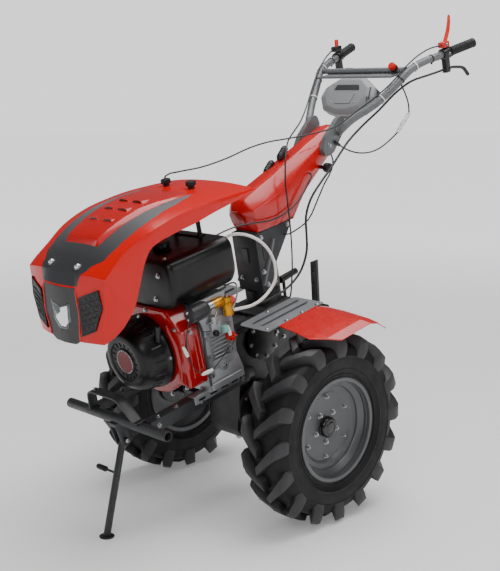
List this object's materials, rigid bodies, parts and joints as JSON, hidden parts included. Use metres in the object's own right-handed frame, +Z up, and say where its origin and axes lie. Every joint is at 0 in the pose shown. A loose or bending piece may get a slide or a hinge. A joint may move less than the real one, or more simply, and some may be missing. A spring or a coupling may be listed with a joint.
{
  "type": "two-wheeled walking tractor with diesel engine",
  "caption": "Two-wheeled walking tractor with a red hood, air-cooled diesel engine, lugged tyres with fenders, swivelling handlebars and a front kick stand.",
  "frame": {"origin": "on the floor, under the centre of the parked machine's box", "axes": "+Z up, -Y forward towards the hood and stand, +X to the machine's left, along the wheel axle"},
  "size_m": [0.968, 1.6744, 1.6596],
  "materials": {
    "black_castings": "satin black enamel on castings",
    "black_engine_paint": "satin black",
    "black_plastic": "moulded",
    "brake_lever_black": "black coated steel",
    "cable_jacket": "dark cable jacket",
    "cast_aluminium": "as cast",
    "console_plastic": "moulded grey",
    "fender_grey_paint": "satin grey paint",
    "frame_grey_paint": "satin dark grey paint",
    "grip_rubber": "moulded",
    "handle_grey_paint": "satin grey paint",
    "hub_black_paint": "satin black paint",
    "lamp_lens": "clear lens",
    "loom_white": "white corrugated sleeve",
    "nose_black_plastic": "moulded black",
    "red_engine_paint": "gloss red enamel",
    "red_fender_paint": "gloss red paint",
    "red_hood_paint": "gloss red paint with a grey stripe",
    "red_plastic": "moulded red",
    "rim_grey_paint": "satin grey paint",
    "solenoid_grey": "dark grey",
    "tyre_rubber": "matte",
    "zinc_yellow": "yellow zinc plating"
  },
  "bodies": {
    "chassis": {"air_filter": "black_plastic", "blower_housing": "red_engine_paint", "cable_white_loom": "loom_white", "depth_bar": "frame_grey_paint", "engine_block": "cast_aluminium", "fender_carrier": "frame_grey_paint", "frame": "frame_grey_paint", "front_crossbar": "frame_grey_paint", "front_guard": "frame_grey_paint", "fuel_filter": "zinc_yellow", "fuel_tank": "black_engine_paint", "gear_lever": "black_plastic", "gearbox": "black_castings", "headlight": "lamp_lens", "hitch": "black_castings", "hood": "red_hood_paint", "hood_bracket": "black_engine_paint", "hood_knob_left": "black_plastic", "hood_knob_right": "black_plastic", "left_fender_inner": "fender_grey_paint", "left_fender_outer": "red_fender_paint", "muffler": "black_engine_paint", "nose_panel": "nose_black_plastic", "oil_filler_cap": "red_plastic", "recoil_starter": "black_engine_paint", "right_fender_inner": "fender_grey_paint", "right_fender_outer": "red_fender_paint", "starter_solenoid": "solenoid_grey", "stop_solenoid": "zinc_yellow"},
    "handle": {"handle_turret": "frame_grey_paint", "column_cover": "red_hood_paint", "console": "console_plastic", "handlebar_left": "handle_grey_paint", "handlebar_right": "handle_grey_paint", "grip_left": "grip_rubber", "grip_right": "grip_rubber", "lever_clamp_left": "black_plastic", "lever_clamp_right": "black_plastic", "brake_lever_left": "brake_lever_black", "brake_lever_right": "brake_lever_black", "clutch_lever": "red_plastic", "throttle_lever": "red_plastic", "throttle_knob": "red_plastic", "handle_cross_tube": "handle_grey_paint", "height_knob_left": "black_plastic", "height_knob_right": "black_plastic", "cable_brake": "cable_jacket", "cable_clutch": "cable_jacket", "cable_gear_select": "cable_jacket", "cable_lamp_lead": "cable_jacket", "cable_throttle": "cable_jacket", "cable_wiring": "cable_jacket"},
    "stand": {"stand_leg": "frame_grey_paint"},
    "left_wheel": {"left_tyre": "tyre_rubber", "left_rim": "rim_grey_paint", "left_hub": "hub_black_paint"},
    "right_wheel": {"right_tyre": "tyre_rubber", "right_rim": "rim_grey_paint", "right_hub": "hub_black_paint"}
  },
  "joints": [
    {"name": "handle_swivel", "type": "hinge", "parent": "chassis", "child": "handle", "pos_m": [0, 0.0117, 0.71945], "axis": [0, -0.2215, 0.9751], "range_deg": [-30, 30], "deforming": ["cable_throttle", "cable_clutch", "cable_gear_select", "cable_wiring"]},
    {"name": "stand_fold", "type": "hinge", "parent": "chassis", "child": "stand", "pos_m": [0, -0.60927, 0.30662], "axis": [1, 0, 0], "range_deg": [0, 116]},
    {"name": "left_wheel_spin", "type": "hinge", "parent": "chassis", "child": "left_wheel", "pos_m": [0.368, -0.07587, 0.315], "axis": [1, 0, 0], "continuous": true},
    {"name": "right_wheel_spin", "type": "hinge", "parent": "chassis", "child": "right_wheel", "pos_m": [-0.368, -0.07587, 0.315], "axis": [1, 0, 0], "continuous": true}
  ]
}
